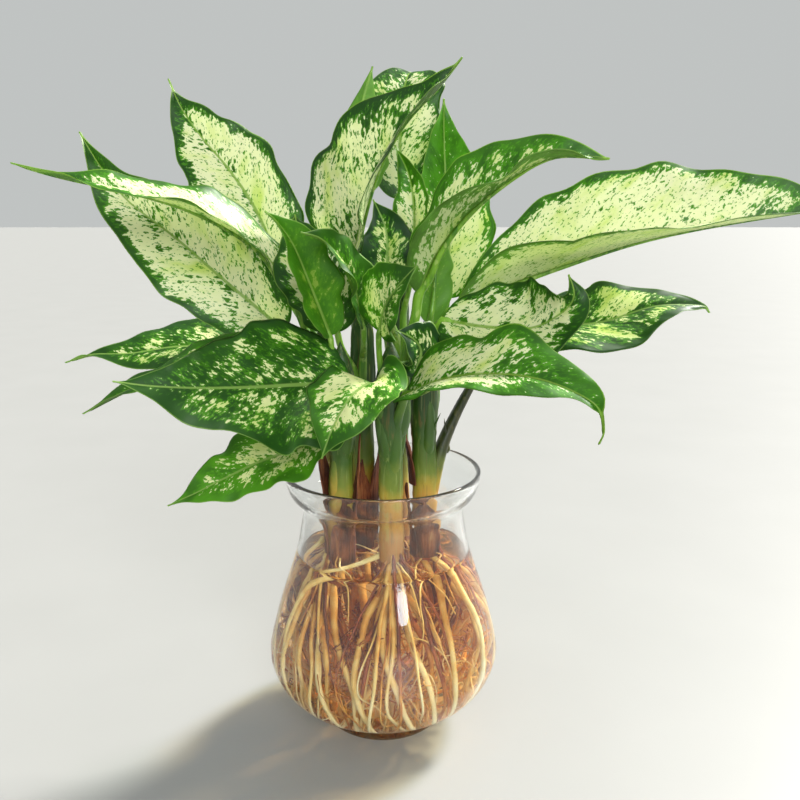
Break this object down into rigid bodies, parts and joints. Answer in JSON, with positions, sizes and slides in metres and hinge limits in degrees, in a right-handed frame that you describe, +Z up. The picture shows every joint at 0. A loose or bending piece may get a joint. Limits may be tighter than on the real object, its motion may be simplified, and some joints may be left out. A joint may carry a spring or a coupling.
{
  "type": "potted plant",
  "caption": "Variegated dieffenbachia with broad arching leaves on canes, growing on bare roots in a bulb-shaped clear glass vase of water.",
  "frame": {"origin": "centre of the vase's foot, on the surface it stands on", "axes": "+Z up; -Y is the plant's front, with its drooping leaves; +X to the right seen from the front"},
  "size_m": [0.4304, 0.2151, 0.3894],
  "materials": {
    "vase_glass": "clear, smooth",
    "water": "clear, tinted amber",
    "cane": "green stem with ring scars",
    "root": "cream and tan, fleshy",
    "dry_sheath": "brown and papery",
    "leaf_pale": "waxy, cream with green margin and flecks",
    "leaf_dark": "waxy, dark green with cream blotches",
    "leaf_green": "waxy, plain bright green"
  },
  "bodies": {
    "root": {"vase": "vase_glass", "water": "water", "cane_front_left": "cane", "cane_back_left": "cane", "cane_middle": "cane", "cane_front": "cane", "cane_right": "cane", "cane_back": "cane", "roots_front_left": "root", "roots_back_left": "root", "roots_middle": "root", "roots_front": "root", "roots_right": "root", "roots_back": "root", "sheath_front_left": "dry_sheath", "sheath_middle": "dry_sheath", "sheath_right": "dry_sheath", "leaf_left_long": "leaf_pale", "leaf_left_broad": "leaf_pale", "leaf_inner_left": "leaf_pale", "leaf_upper_left": "leaf_pale", "leaf_top_arched": "leaf_pale", "leaf_top_spike": "leaf_green", "leaf_top_rounded": "leaf_pale", "leaf_back_upright": "leaf_pale", "leaf_inner_narrow": "leaf_pale", "leaf_right_arched": "leaf_pale", "leaf_right_long": "leaf_pale", "leaf_right_low": "leaf_dark", "leaf_right_curled": "leaf_pale", "leaf_front_right": "leaf_pale", "leaf_front_drooping": "leaf_dark", "leaf_front_left_broad": "leaf_dark", "leaf_inner_right": "leaf_dark", "leaf_left_thin": "leaf_dark", "leaf_left_low": "leaf_dark", "leaf_lowest_left": "leaf_dark", "leaf_furled_green": "leaf_green", "leaf_furled_dark": "leaf_dark", "leaf_inner_upright": "leaf_dark", "leaf_inner_curled": "leaf_dark", "leaf_young_sheath": "leaf_green"}
  },
  "joints": []
}
